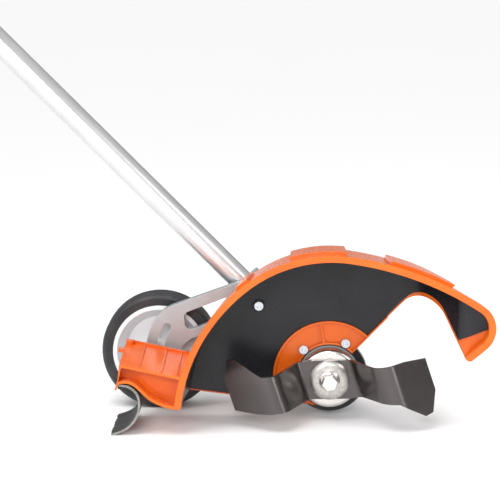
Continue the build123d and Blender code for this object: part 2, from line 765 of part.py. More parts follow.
BOLT_SEAT = BLADE_FRONT - BLADE_WASHER_T
HEX_FOOT = BOLT_SEAT - BOLT_FLANGE_T
with BuildPart() as blade_bolt:
    with BuildSketch(HEAD_SECTION):
        with BuildLine():
            Polyline(
                (0, BOLT_R),
                (BOLT_R, BOLT_R),
                (BOLT_R, BOLT_SEAT),
                (BOLT_FLANGE_R, BOLT_SEAT),
                (BOLT_FLANGE_R, BOLT_SEAT - BOLT_FLANGE_RIM),
                (BOLT_FLANGE_R - 2.2, HEX_FOOT),
                (0, HEX_FOOT),
                close=True,
            )
        make_face()
    revolve(axis=BLADE_AXIS)
    with BuildSketch(side_plane(HEX_FOOT)):
        RegularPolygon(BOLT_HEX_AF / 2, 6, major_radius=False, rotation=12)
    extrude(amount=HEX_FOOT - BOLT_FRONT)
    chamfer(blade_bolt.edges().group_by(Axis.Y)[0], length=1.0)
pieces["blade_bolt"] = blade_bolt

# ================================================================ guard
HEEL_CENTRE = polar(CROWN_R - HEEL_R, CROWN_START)
BROW_CENTRE = polar(CROWN_R - BROW_R, CROWN_END)
NOSE_CENTRE = polar(BROW_R - NOSE_R, BROW_END, BROW_CENTRE)
GUARD_LEFT = -290.0
GUARD_RIGHT = 215.0
GUARD_TOP = 240.0


def dome_lines(inset):
    """The guard's outer edge, inset mm, as tangent arcs from heel to nose, closed well below the head."""
    heel = CenterArc(HEEL_CENTRE, HEEL_R - inset, HEEL_ANGLE, CROWN_START - HEEL_ANGLE)
    CenterArc((0, 0), CROWN_R - inset, CROWN_START, CROWN_END - CROWN_START)
    CenterArc(BROW_CENTRE, BROW_R - inset, CROWN_END, BROW_END - CROWN_END)
    nose = CenterArc(NOSE_CENTRE, NOSE_R - inset, BROW_END, NOSE_END - BROW_END)
    brink = Line(nose @ 1, nose @ 1 + (nose % 1) * BRINK_LENGTH)
    Polyline(brink @ 1, (80, BELOW), (-150, BELOW), heel @ 0)


def floor_lines(back):
    """The guard's floor seen from above, back mm behind its face, closed far ahead of the rim."""
    flat = Line((GUARD_LEFT, back), (SCOOP_START, back))
    dip = JernArc(flat @ 1, flat % 1, SCOOP_R + back, -SCOOP_ANGLE)
    rise = -NOSE_FLOOR - (SCOOP_R + SCOOP_END_R) * (1 - math.cos(math.radians(SCOOP_ANGLE)))
    ramp = Line(dip @ 1, dip @ 1 + (dip % 1) * (rise / math.sin(math.radians(SCOOP_ANGLE))))
    level = JernArc(ramp @ 1, ramp % 1, SCOOP_END_R - back, SCOOP_ANGLE)
    Polyline(level @ 1, (GUARD_RIGHT, NOSE_FLOOR + back), (GUARD_RIGHT, -130), (GUARD_LEFT, -130), flat @ 0)


def guard_form(inset, front, back):
    """The guard's drafted solid between two depths, inset mm all round, resting on its floor."""
    with BuildPart() as form:
        for depth in (front, back):
            with BuildSketch(side_plane(depth)):
                with BuildLine():
                    dome_lines(inset + DRAFT * (depth - RIM_DEPTH))
                make_face()
        loft(ruled=True)
        with BuildSketch(HEAD_SECTION):
            with BuildLine():
                floor_lines(back)
            make_face()
        extrude(amount=GUARD_TOP, both=True, mode=Mode.INTERSECT)
    return form.part


def plate_points(trim):
    """What is kept of the plate, trim mm inside its free edges, from the hub round the cut-out."""
    return [
        (CUT_START[0] - trim * 0.7, CUT_START[1] + trim * 0.7),
        (CUT_PEAK[0], CUT_PEAK[1] + trim * 1.5),
        (CUT_TIP[0] + trim, CUT_TIP[1]),
        (GUARD_RIGHT, CUT_TIP[1] + (GUARD_RIGHT - CUT_TIP[0]) * 0.84),
        (GUARD_RIGHT, GUARD_TOP),
        (GUARD_LEFT, GUARD_TOP),
        (GUARD_LEFT, 0.3 + trim),
        (PLATE_FOOT[0], PLATE_FOOT[1] + trim),
        (0, PLATE_FOOT[1] + trim),
    ]


def near(points, place, reach=1.5):
    """The vertices within reach of a place on a sketch."""
    return [point for point in points if math.hypot(point.X - place[0], point.Y - place[1]) < reach]


def guard_lug(start, end, height):
    """A raised panel on the skirt between two angles, standing height mm out at the back."""
    with BuildPart() as lug:
        add(guard_form(-height, LUG_FRONT, PLATE))
        with BuildSketch(side_plane(LUG_FRONT)):
            with BuildLine():
                Polyline((0, 0), polar(2 * GUARD_TOP, start), polar(2 * GUARD_TOP, end), close=True)
            make_face()
        extrude(amount=LUG_FRONT - LUG_BACK, mode=Mode.INTERSECT)
    return lug.part


def box_form(lift):
    """The rear box's drafted solid, with its top raised by lift mm."""
    with BuildPart() as form:
        for depth, rise in ((RIM_DEPTH, lift), (0, BOX_RISE + lift)):
            with BuildSketch(side_plane(depth)):
                with BuildLine():
                    box_top = Polyline(*[(x, z + rise) for x, z in BOX_TOP])
                    box_under = Spline(*BOX_UNDER)
                    Line(box_top @ 1, box_under @ 0)
                    Line(box_under @ 1, box_top @ 0)
                make_face()
        loft(ruled=True)
    return form.part


# Ribs on the box's top run back to a lip along its rear edge.
with BuildPart() as box_ribs:
    add(box_form(BOX_RIB_HEIGHT))
    with BuildSketch(side_plane(0)):
        with Locations(*[(x, 0) for x in BOX_RIBS]):
            Rectangle(BOX_RIB_WIDTH, GUARD_TOP)
    extrude(amount=BOX_RIB_REACH, mode=Mode.INTERSECT)

with BuildPart() as box_lip:
    add(box_form(2 * BOX_RIB_HEIGHT))
    with BuildSketch(side_plane(0)):
        Rectangle(4 * CROWN_R, GUARD_TOP)
    extrude(amount=BOX_LIP, mode=Mode.INTERSECT)

# The rear box: a thin shell with a web across it, so it has a pocket at the front and one at the back.
with BuildPart() as rear_box:
    add(box_form(0))
    add(box_ribs.part)
    add(box_lip.part)
    with BuildSketch(Plane(origin=HEAD + Vector(0, 0, BOX_PEG_FOOT), x_dir=(1, 0, 0), z_dir=(0, 0, 1))):
        with Locations(BOX_PEG_AT):
            Circle(BOX_PEG_R)
    extrude(amount=BOX_PEG_HEIGHT)
    with BuildSketch(side_plane(BOX_PEG_AT[1])):
        with Locations(BOX_TAB_AT):
            Rectangle(*BOX_TAB)
    extrude(amount=2 * BOX_PEG_R)
    with BuildSketch(side_plane(RIM_DEPTH + BOX_SPUR_DEPTH)):
        with BuildLine():
            Polyline(*BOX_SPUR, close=True)
        make_face()
    extrude(amount=BOX_SPUR_DEPTH)
    for start, length in ((RIM_DEPTH + BOX_POCKET, BOX_POCKET), (0, -RIM_DEPTH - BOX_POCKET - BOX_WEB)):
        with BuildSketch(side_plane(start)):
            with BuildLine():
                inner_top = Polyline(*[(x + 2, z - WALL) for x, z in BOX_TOP])
                inner_under = Spline(*[(x + 1, z + WALL) for x, z in BOX_UNDER])
                Line(inner_top @ 1, inner_under @ 0)
                Line(inner_under @ 1, inner_top @ 0)
            make_face()
        extrude(amount=length, mode=Mode.SUBTRACT)

with BuildPart() as guard_shell:
    add(guard_form(0, RIM_DEPTH, PLATE))
    for start, end, height in LUGS:
        add(guard_lug(start, end, height))
    with BuildSketch(side_plane(PLATE + 10)):
        with BuildLine():
            Polyline(*plate_points(0), close=True)
        make_face()
        fillet(near(vertices(), CUT_PEAK), radius=CUT_PEAK_R)
        fillet(near(vertices(), CUT_TIP), radius=CUT_TIP_R)
    extrude(amount=WIDE_CUT, mode=Mode.INTERSECT)
    add(rear_box.part)
    add(guard_form(WALL, RIM_DEPTH + BEAD_DEPTH, 0), mode=Mode.SUBTRACT)
    add(guard_form(BEAD_WIDTH, RIM_DEPTH - 10, -2), mode=Mode.SUBTRACT)
    # The hub's recess: a raised ring with a rib, and lips along the hub hole and the cut-out.
    with BuildSketch(side_plane(0)):
        Circle(RING_R)
        Circle(RING_R - RING_LIP, mode=Mode.SUBTRACT)
        with Locations((polar((RING_R + HUB_HOLE_R) / 2, RIB_ANGLE))):
            Rectangle(RING_R - HUB_HOLE_R - 2, RIB_WIDTH, rotation=RIB_ANGLE)
        Circle(HUB_HOLE_R + RIB_WIDTH)
        Circle(HUB_HOLE_R, mode=Mode.SUBTRACT)
        with Locations(*[polar(GUARD_SCREW_PCR, angle) for angle in GUARD_SCREW_ANGLES]):
            Circle(SCREW_RELIEF_R, mode=Mode.SUBTRACT)
        with BuildLine():
            Polyline(*plate_points(0), close=True)
        make_face(mode=Mode.INTERSECT)
    extrude(amount=RING_HEIGHT)
    with BuildSketch(side_plane(0)):
        with BuildLine():
            Polyline(
                CUT_START,
                CUT_RIB_END,
                (CUT_RIB_END[0] - CUT_RIB, CUT_RIB_END[1] + CUT_RIB),
                (CUT_START[0] - CUT_RIB, CUT_START[1] + CUT_RIB),
                close=True,
            )
        make_face()
    extrude(amount=RING_HEIGHT)
    # Holes: the gearbox and its screws, and the bracket screw.
    with BuildSketch(side_plane(PLATE + 5)):
        Circle(HUB_HOLE_R)
        with Locations(*[polar(GUARD_SCREW_PCR, angle) for angle in GUARD_SCREW_ANGLES]):
            Circle(GUARD_SCREW_R)
        with Locations(LINER_SCREW_AT):
            Circle(GUARD_SCREW_R)
    extrude(amount=HOLE_CUT, mode=Mode.SUBTRACT)
    with BuildSketch(FLAP_SCREW_PLANE):
        with Locations(*FLAP_SCREW_SPOTS):
            Circle(FLAP_SCREW_R)
    extrude(amount=STRIP_DEPTH_IN_BOX, mode=Mode.SUBTRACT)
pieces["guard_shell"] = guard_shell

# ================================================================ liner
with BuildPart() as guard_liner:
    add(guard_form(WALL + LINER_GAP, RIM_DEPTH + BEAD_DEPTH + LINER_RIM_GAP, 0))
    add(guard_form(WALL + LINER_GAP + LINER, RIM_DEPTH - 10, -LINER), mode=Mode.SUBTRACT)
    with BuildSketch(side_plane(PLATE + 10)):
        with BuildLine():
            Polyline(*plate_points(LINER_TRIM), close=True)
        make_face()
        fillet(near(vertices(), CUT_PEAK, 4), radius=CUT_PEAK_R - LINER_TRIM)
        Circle(RING_R + LINER_GAP, mode=Mode.SUBTRACT)
        with BuildLine():
            Polyline((120, 48.5), (134, 56.5), (161, 67.5), (215, 74), (215, 20), (120, 20), close=True)
        make_face(mode=Mode.SUBTRACT)
        with Locations(LINER_SCREW_AT):
            Circle(GUARD_SCREW_R, mode=Mode.SUBTRACT)
    extrude(amount=WIDE_CUT, mode=Mode.INTERSECT)
    with BuildSketch(side_plane(-LINER)):
        with Locations(LINER_SCREW_AT):
            Circle(6.6)
            Circle(5.4, mode=Mode.SUBTRACT)
    extrude(amount=2.2)
pieces["guard_liner"] = guard_liner

SIDE_OF_PLATE = side_plane(0)
pieces["guard_screws"] = cap_screw(
    SIDE_OF_PLATE,
    [polar(GUARD_SCREW_PCR, angle) for angle in GUARD_SCREW_ANGLES],
    shank_r=GUARD_SCREW_R,
    shank=13.0,
    head_r=GUARD_SCREW_HEAD_R,
    head=4.0,
    socket_af=4.0,
)
pieces["liner_screw"] = cap_screw(
    side_plane(-LINER),
    [LINER_SCREW_AT],
    shank_r=GUARD_SCREW_R,
    shank=18.0,
    head_r=GUARD_SCREW_HEAD_R,
    head=3.6,
    socket_af=4.0,
)

# ================================================================ wheel bracket
BRACKET_BACK = BRACKET_FRONT + BRACKET_THICKNESS
SWING_R = math.hypot(WHEEL_X - SWING_X, WHEEL_Z - SWING_Z)
SWING_REST = math.degrees(math.atan2(WHEEL_Z - SWING_Z, WHEEL_X - SWING_X))
SLOT_HALF = AXLE_R + FREE_GAP
SADDLE_START = HEAD_REACH - SADDLE_FAR
SADDLE_LENGTH = SADDLE_FAR - SADDLE_NEAR
SADDLE_REACHES = (SADDLE_START + 8, SADDLE_START + SADDLE_LENGTH - 8)
SADDLE_SPOTS = [
    (side * SADDLE_SCREW_AT, reach) for side in (-1, 1) for reach in SADDLE_REACHES
]
BRACKET_HOOK = [(-168, -1), (-184, -4), (-196, 6), (-198, 24), (-193, 46), (-182.5, 63), (-166, 73.5)]
with BuildPart() as wheel_bracket:
    with BuildSketch(side_plane(BRACKET_BACK)):
        with BuildLine():
            hook = Spline(*BRACKET_HOOK)
            arms = Polyline(hook @ 1, (-97, 98.5), (-70, 62), (-143, 38))
            arch = Spline(arms @ 1, (-155, 31), (-161.5, 19.5), (-164, 8), hook @ 0)
        make_face()
        with BuildLine():
            Polyline((-156.5, 64), (-107.5, 83), (-95.5, 66.5), (-155, 43.5), close=True)
        make_face(mode=Mode.SUBTRACT)
        fillet(near(vertices(), (-156.5, 64)) + near(vertices(), (-155, 43.5)), radius=7)
        fillet(near(vertices(), (-107.5, 83)) + near(vertices(), (-95.5, 66.5)), radius=4)
    extrude(amount=BRACKET_THICKNESS)
    # The half of the tube clamp that is cast with the arms.
    with BuildSketch(tube_plane(SADDLE_START)):
        with Locations((BRACKET_FRONT - TUBE_DEPTH, 0)):
            Rectangle(
                TUBE_DEPTH - BRACKET_FRONT - SADDLE_GAP, 2 * SADDLE_HALF, align=(Align.MIN, Align.CENTER)
            )
        fillet(vertices().group_by(Axis.X)[0], radius=8)
    extrude(amount=SADDLE_LENGTH)
    # Boss that meets the guard.
    with BuildSketch(side_plane(BRACKET_FRONT + 4)):
        with Locations(LINER_SCREW_AT):
            Circle(8)
    extrude(amount=BRACKET_FRONT + 4 - PLATE)
    with BuildSketch(tube_plane(SADDLE_START - 1)):
        Circle(TUBE_R)
    extrude(amount=SADDLE_LENGTH + 2, mode=Mode.SUBTRACT)
    with BuildSketch(side_plane(17)):
        with Locations(LINER_SCREW_AT):
            Circle(GUARD_SCREW_R)
    extrude(amount=HOLE_CUT, mode=Mode.SUBTRACT)
    # The curved slot for the wheel's axle.
    with BuildSketch(side_plane(BRACKET_BACK + 1)):
        with BuildLine():
            slot_line = CenterArc(
                (SWING_X, SWING_Z), SWING_R, SWING_REST - SWING_UP, SWING_UP + SWING_DOWN
            )
        SlotArc(slot_line, 2 * SLOT_HALF)
    extrude(amount=BRACKET_THICKNESS + 2, mode=Mode.SUBTRACT)
    # Screw holes of the clamp.
    for offset_up, reach in SADDLE_SPOTS:
        with BuildSketch(Plane(origin=DOWN_TUBE * reach, x_dir=DOWN_TUBE, z_dir=(0, -1, 0))):
            with Locations((0, offset_up)):
                Circle(GUARD_SCREW_R)
        extrude(amount=14, mode=Mode.SUBTRACT)
pieces["wheel_bracket"] = wheel_bracket

with BuildPart() as bracket_clamp_cap:
    with BuildSketch(tube_plane(SADDLE_START)):
        with Locations((SADDLE_GAP, 0)):
            Rectangle(CAP_OUT - SADDLE_GAP, 2 * SADDLE_HALF, align=(Align.MIN, Align.CENTER))
        fillet(vertices().group_by(Axis.X)[-1], radius=9)
        Circle(TUBE_R, mode=Mode.SUBTRACT)
    extrude(amount=SADDLE_LENGTH)
    for offset_up, reach in SADDLE_SPOTS:
        with BuildSketch(Plane(origin=DOWN_TUBE * reach, x_dir=DOWN_TUBE, z_dir=(0, 1, 0))):
            with Locations((0, offset_up)):
                Circle(GUARD_SCREW_R)
        extrude(amount=CAP_OUT + 1, mode=Mode.SUBTRACT)
        with BuildSketch(
            Plane(origin=DOWN_TUBE * reach + Vector(0, CAP_SCREW_SEAT, 0), x_dir=DOWN_TUBE, z_dir=(0, 1, 0))
        ):
            with Locations((0, offset_up)):
                Circle(GUARD_SCREW_HEAD_R + 0.3)
        extrude(amount=CAP_OUT, mode=Mode.SUBTRACT)
pieces["bracket_clamp_cap"] = bracket_clamp_cap

CAP_FACE = Plane(origin=Vector(0, CAP_SCREW_SEAT, 0), x_dir=DOWN_TUBE, z_dir=(0, 1, 0))
pieces["bracket_screws"] = cap_screw(
    CAP_FACE,
    [(reach, offset_up) for offset_up, reach in SADDLE_SPOTS],
    shank_r=GUARD_SCREW_R,
    shank=CAP_SCREW_SEAT + 11.0,
    head_r=4.4,
    head=5.0,
    socket_af=4.0,
)

# ================================================================ wheel
WHEEL_BACK = WHEEL_FRONT + WHEEL_WIDTH
HUB_BOSS_R = 12.0
BUSH_R = 6.5
BUSH_FLANGE = 1.0
BOSS_FRONT = WHEEL_FRONT + 0.5
BOSS_BACK = WHEEL_BACK - 0.5
WEB_FRONT = WHEEL_FRONT + 16.0
WEB_BACK = WEB_FRONT + 3.0
with BuildPart() as tyre:
    with BuildSketch(WHEEL_SECTION):
        with BuildLine():
            Polyline(
                (RIM_R, WHEEL_FRONT + 1.5),
                (TYRE_R - 4, WHEEL_FRONT),
                (TYRE_R - 1.5, WHEEL_FRONT + 1.5),
                (TYRE_R, WHEEL_FRONT + 5),
                (TYRE_R, WHEEL_BACK - 5),
                (TYRE_R - 1.5, WHEEL_BACK - 1.5),
                (TYRE_R - 4, WHEEL_BACK),
                (RIM_R, WHEEL_BACK - 1.5),
                close=True,
            )
        make_face()
        with Locations(*[(TYRE_R, WHEEL_FRONT + WHEEL_WIDTH * share) for share in (0.28, 0.5, 0.72)]):
            Rectangle(2.4, 2.0, mode=Mode.SUBTRACT)
    revolve(axis=WHEEL_AXIS)
pieces["tyre"] = tyre

with BuildPart() as wheel_hub:
    with BuildSketch(WHEEL_SECTION):
        with BuildLine():
            Polyline(
                (BUSH_R, BOSS_FRONT),
                (HUB_BOSS_R - 1, BOSS_FRONT),
                (HUB_BOSS_R, WEB_FRONT),
                (36.7, WEB_FRONT),
                (45.5, WHEEL_FRONT + 3),
                (46.5, WHEEL_FRONT),
                (RIM_R, WHEEL_FRONT),
                (RIM_R, WHEEL_BACK),
                (46.5, WHEEL_BACK),
                (45.5, WHEEL_BACK - 3),
                (42.0, WEB_BACK),
                (HUB_BOSS_R, WEB_BACK),
                (HUB_BOSS_R, BOSS_BACK),
                (BUSH_R, BOSS_BACK),
                close=True,
            )
        make_face()
    revolve(axis=WHEEL_AXIS)
    with BuildSketch(side_plane(WHEEL_BACK - 4, WHEEL)):
        with PolarLocations((HUB_BOSS_R + 43.5) / 2, 6):
            Rectangle(43.5 - HUB_BOSS_R + 2, 3.0)
    extrude(amount=WHEEL_BACK - 4 - WEB_BACK + 0.5)
pieces["wheel_hub"] = wheel_hub

with BuildPart() as wheel_bushes:
    front_bush = (BOSS_FRONT - BUSH_FLANGE, BOSS_FRONT + 12)
    back_bush = (BOSS_BACK + BUSH_FLANGE, BOSS_BACK - 12)
    for flange_start, sleeve_end in (front_bush, back_bush):
        seat = BOSS_FRONT if sleeve_end > flange_start else BOSS_BACK
        with BuildSketch(WHEEL_SECTION):
            with BuildLine():
                Polyline(
                    (AXLE_R + RUNNING_GAP, flange_start),
                    (HUB_BOSS_R - 2, flange_start),
                    (HUB_BOSS_R - 2, seat),
                    (BUSH_R, seat),
                    (BUSH_R, sleeve_end),
                    (AXLE_R + RUNNING_GAP, sleeve_end),
                    close=True,
                )
            make_face()
        revolve(axis=WHEEL_AXIS)
pieces["wheel_bushes"] = wheel_bushes

# The axle: a bolt from the outer side, spacer, washers and the nut in front of the slot.
SIDE_GAP = 0.2
WASHER_T = 1.6
NUT_T = 6.8
AXLE_HEAD_SEAT = BOSS_BACK + BUSH_FLANGE + SIDE_GAP + WASHER_T
NUT_BACK = BRACKET_FRONT - SIDE_GAP - WASHER_T
with BuildPart() as axle_bolt:
    with BuildSketch(side_plane(AXLE_HEAD_SEAT, WHEEL)):
        Circle(AXLE_R)
    extrude(amount=AXLE_HEAD_SEAT - NUT_BACK + NUT_T + 1.4)
    with BuildSketch(side_plane(AXLE_HEAD_SEAT + 5.3, WHEEL)):
        RegularPolygon(6.5, 6, major_radius=False)
    extrude(amount=5.3)
    chamfer(axle_bolt.edges().group_by(Axis.Y)[-1], length=0.8)
pieces["axle_bolt"] = axle_bolt

with BuildPart() as axle_nut:
    with BuildSketch(side_plane(NUT_BACK, WHEEL)):
        RegularPolygon(6.5, 6, major_radius=False, rotation=10)
    extrude(amount=NUT_T)
    chamfer(axle_nut.edges().group_by(Axis.Y)[0], length=0.8)
    with BuildSketch(side_plane(NUT_BACK + 1, WHEEL)):
        Circle(AXLE_R)
    extrude(amount=NUT_T + 2, mode=Mode.SUBTRACT)
pieces["axle_nut"] = axle_nut

with BuildPart() as axle_washers:
    for back in (AXLE_HEAD_SEAT, NUT_BACK + WASHER_T):
        with BuildSketch(side_plane(back, WHEEL)):
            Circle(AXLE_R * 2)
            Circle(AXLE_R, mode=Mode.SUBTRACT)
        extrude(amount=WASHER_T)
pieces["axle_washers"] = axle_washers

pieces["axle_spacer"] = tube_ring(
    AXLE_R,
    7.5,
    BRACKET_BACK + SIDE_GAP,
    BOSS_FRONT - BUSH_FLANGE - SIDE_GAP,
    WHEEL_SECTION,
    WHEEL_AXIS,
)

# ================================================================ flap
with BuildPart() as debris_flap:
    with BuildSketch(side_plane(FLAP_BACK)):
        with BuildLine():
            top_run = Line(*FLAP_TOP)
            bend = JernArc(top_run @ 1, top_run % 1, FLAP_BEND_R, -FLAP_BEND)
            curl = JernArc(bend @ 1, bend % 1, FLAP_CURL_R, -FLAP_CURL)
            PolarLine(curl @ 1, FLAP_TAIL, direction=curl % 1)
        trace(line_width=FLAP_THICKNESS)
    extrude(amount=FLAP_BACK - FLAP_FRONT)
    with BuildSketch(FLAP_SCREW_PLANE):
        with Locations(*FLAP_SCREW_SPOTS):
            Circle(FLAP_SCREW_R)
    extrude(amount=HOLE_CUT, mode=Mode.SUBTRACT)
pieces["debris_flap"] = debris_flap

# A steel strip and three screws hold the flap up against the box.
STRIP_TOP = FLAP_TOP[0][1] - FLAP_THICKNESS / 2 - FREE_GAP
STRIP_UNDER = STRIP_TOP - STRIP_THICKNESS
with BuildPart() as flap_strip:
    with BuildSketch(side_plane(FLAP_BACK)):
        with Locations((FLAP_SCREW_X, STRIP_TOP)):
            Rectangle(STRIP_WIDTH, STRIP_THICKNESS, align=(Align.CENTER, Align.MAX))
    extrude(amount=FLAP_BACK - FLAP_FRONT)
    with BuildSketch(FLAP_SCREW_PLANE):
        with Locations(*FLAP_SCREW_SPOTS):
            Circle(FLAP_SCREW_R)
    extrude(amount=HOLE_CUT, both=True, mode=Mode.SUBTRACT)
pieces["flap_strip"] = flap_strip

with BuildPart() as flap_screws:
    with BuildSketch(FLAP_SCREW_PLANE.offset(STRIP_UNDER)):
        with Locations(*FLAP_SCREW_SPOTS):
            Circle(FLAP_SCREW_R)
    extrude(amount=FLAP_SCREW_LENGTH)
    with BuildSketch(FLAP_SCREW_PLANE.offset(STRIP_UNDER)):
        with Locations(*FLAP_SCREW_SPOTS):
            Circle(2 * FLAP_SCREW_R)
    extrude(amount=-1.6)
pieces["flap_screws"] = flap_screws

for label, piece in pieces.items():
    piece.part.label = label
    export_step(piece.part, f"parts/{label}.step")
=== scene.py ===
import json
import math

import bpy
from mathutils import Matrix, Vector


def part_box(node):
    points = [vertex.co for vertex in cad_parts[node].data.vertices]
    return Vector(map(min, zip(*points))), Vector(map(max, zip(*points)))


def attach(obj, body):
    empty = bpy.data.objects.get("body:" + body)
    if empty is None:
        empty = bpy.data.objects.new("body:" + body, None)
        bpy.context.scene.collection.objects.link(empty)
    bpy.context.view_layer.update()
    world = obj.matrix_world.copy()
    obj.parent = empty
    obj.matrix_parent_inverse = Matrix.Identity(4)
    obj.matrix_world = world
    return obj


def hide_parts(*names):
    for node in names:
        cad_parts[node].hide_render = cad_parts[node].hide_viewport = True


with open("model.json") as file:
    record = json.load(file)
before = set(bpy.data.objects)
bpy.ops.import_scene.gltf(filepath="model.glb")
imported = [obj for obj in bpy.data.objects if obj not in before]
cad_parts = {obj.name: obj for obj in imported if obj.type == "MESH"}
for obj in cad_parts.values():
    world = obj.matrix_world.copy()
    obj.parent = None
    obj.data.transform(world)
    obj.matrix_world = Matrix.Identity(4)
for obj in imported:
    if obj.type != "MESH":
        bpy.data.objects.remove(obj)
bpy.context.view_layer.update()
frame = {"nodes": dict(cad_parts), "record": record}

# ---------------------------------------------------------------- places, in metres in the row frame
joint_places = {joint["name"]: Vector(joint["pos_m"]) for joint in frame["record"]["behaviour"]["joints"]}
# Points on the blade's axis and on the wheel's, level with the front face of the guard's plate.
HEAD = joint_places["blade_spin"]
WHEEL = joint_places["wheel_spin"]
# The floor is a hair below the tyre.
FLOOR_GAP = 0.0004
FLOOR_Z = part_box("tyre")[0][2] - FLOOR_GAP
FLOOR_REACH = 40.0
# The drive tube runs down and forward at 45 degrees.
TUBE_TILT = math.radians(45)

# ---------------------------------------------------------------- node materials
BEVEL_SAMPLES = 4
RING_SCALE = 30.0
# How much lighter a metal edge, where a highlight is painted, and a scuff on plastic are than the surface
# round them.
EDGE_GLINT = 1.15
SCUFF_GLINT = 1.3


class Surface:
    """One material: a Principled shader fed by nodes that are added one at a time."""

    def __init__(self, name, metallic=0.0, coat=0.0, coat_roughness=0.1, specular=0.5):
        self.material = bpy.data.materials.new(name)
        self.material.use_nodes = True
        self.tree = self.material.node_tree
        self.shader = self.tree.nodes["Principled BSDF"]
        self.shader.inputs["Metallic"].default_value = metallic
        self.shader.inputs["Coat Weight"].default_value = coat
        self.shader.inputs["Coat Roughness"].default_value = coat_roughness
        self.shader.inputs["Specular IOR Level"].default_value = specular
        self.place = self.tree.nodes.new("ShaderNodeTexCoord").outputs["Object"]

    def node(self, kind, inputs, **settings):
        """Adds a node, sets its properties, and sets or links its inputs by name or number."""
        made = self.tree.nodes.new(kind)
        for key, value in settings.items():
            setattr(made, key, value)
        for key, value in inputs.items():
            if isinstance(value, bpy.types.NodeSocket):
                self.tree.links.new(value, made.inputs[key])
            else:
                made.inputs[key].default_value = value
        return made

    def sums(self, operation, first, second):
        """The result of a Math node on two numbers."""
        return self.node("ShaderNodeMath", {0: first, 1: second}, operation=operation).outputs[0]

    def vectors(self, operation, first, second):
        """A Vector Math node on two vectors."""
        return self.node("ShaderNodeVectorMath", {0: first, 1: second}, operation=operation)

    def stretched(self, scale, turn=0.0):
        """The place turned about Y, then scaled, so that a grain drawn from it runs one way."""
        turned = self.node("ShaderNodeMapping", {"Vector": self.place, "Rotation": (0.0, turn, 0.0)})
        return self.node("ShaderNodeMapping", {"Vector": turned.outputs[0], "Scale": scale}).outputs[0]

    def rings(self, centre):
        """A place that changes only with the distance from an axis along Y, and along that axis."""
        from_axis = self.vectors("SUBTRACT", self.place, centre).outputs[0]
        flat = self.vectors("MULTIPLY", from_axis, (1.0, 0.0, 1.0)).outputs[0]
        reach = self.node("ShaderNodeVectorMath", {0: flat}, operation="LENGTH").outputs["Value"]
        depth = self.node("ShaderNodeSeparateXYZ", {0: self.place}).outputs["Y"]
        scaled = [self.sums("MULTIPLY", value, RING_SCALE) for value in (reach, depth)]
        return self.node("ShaderNodeCombineXYZ", {"X": scaled[0], "Y": scaled[1]}).outputs[0]

    def noise(self, scale, detail=3.0, roughness=0.55, vector=None):
        """Noise from 0 to 1, drawn from the place unless another vector is given."""
        inputs = {"Vector": vector or self.place, "Scale": scale, "Detail": detail, "Roughness": roughness}
        return self.node("ShaderNodeTexNoise", inputs).outputs["Fac"]

    def spread(self, value, low, high, start=0.3, end=0.7):
        """A value between start and end becomes one between low and high."""
        inputs = {"Value": value, "From Min": start, "From Max": end, "To Min": low, "To Max": high}
        return self.node("ShaderNodeMapRange", inputs).outputs["Result"]

    def mix(self, amount, first, second):
        """The two colours mixed: amount 0 is the first."""
        colours = [c if isinstance(c, bpy.types.NodeSocket) else (*c, 1.0) for c in (first, second)]
        inputs = {0: amount, 6: colours[0], 7: colours[1]}
        return self.node("ShaderNodeMix", inputs, data_type="RGBA").outputs[2]

    def bump(self, height, distance, below=None):
        """A relief that deep, in metres, on top of another."""
        inputs = {"Height": height, "Distance": distance, "Strength": 1.0}
        if below is not None:
            inputs["Normal"] = below
        return self.node("ShaderNodeBump", inputs).outputs["Normal"]

    def rounded(self, radius):
        """The normal of edges rounded by that radius."""
        return self.node("ShaderNodeBevel", {"Radius": radius}, samples=BEVEL_SAMPLES).outputs["Normal"]

    def edges(self, radius):
        """1 along the edges and 0 on flat faces."""
        sharp = self.node("ShaderNodeNewGeometry", {}).outputs["Normal"]
        alike = self.vectors("DOT_PRODUCT", self.rounded(radius), sharp).outputs["Value"]
        return self.spread(alike, 1.0, 0.0, start=0.86, end=0.995)

    def paint(self, colour, roughness, normal=None):
        """Links what is given into the shader and gives the finished material."""
        self.tree.links.new(colour, self.shader.inputs["Base Color"])
        self.tree.links.new(roughness, self.shader.inputs["Roughness"])
        if normal is not None:
            self.tree.links.new(normal, self.shader.inputs["Normal"])
        return self.material


def drawn(s):
    """Grain along the drive tube."""
    return s.stretched((1.5, 160.0, 160.0), TUBE_TILT)


def rolled(s):
    """Grain along the blade."""
    return s.stretched((4.0, 60.0, 60.0))


def turned_at_blade(s):
    """Grain in rings round the blade's axis."""
    return s.rings(HEAD)


def turned_at_wheel(s):
    """Grain in rings round the wheel's axis."""
    return s.rings(WHEEL)


def metal(name, light, dark, rough, grain, depth, vector=None, patches=30.0, edge=0.0003,
          metallic=1.0, **finish):
    """Bare or plated metal: two tones in soft patches, a fine grain, and a painted highlight along the
    edges.
    """
    s = Surface(name, metallic=metallic, **finish)
    fine = s.noise(grain, detail=4.0, vector=vector(s) if vector else None)
    broad = s.noise(patches)
    tone = s.mix(s.spread(broad, 0.0, 0.8), light, dark)
    tone = s.mix(s.spread(fine, 0.0, 0.35, start=0.45, end=0.75), tone, dark)
    gloss = s.spread(fine, *rough)
    if edge == 0.0:
        return s.paint(tone, gloss, s.bump(fine, depth))
    # Painted highlight: the colour is lightened along the edges, as if they caught the light.
    painted_edge_glint_tone = s.mix(s.edges(2 * edge), tone, [min(1.0, EDGE_GLINT * c) for c in light])
    return s.paint(painted_edge_glint_tone, gloss, s.bump(fine, depth, s.rounded(edge)))


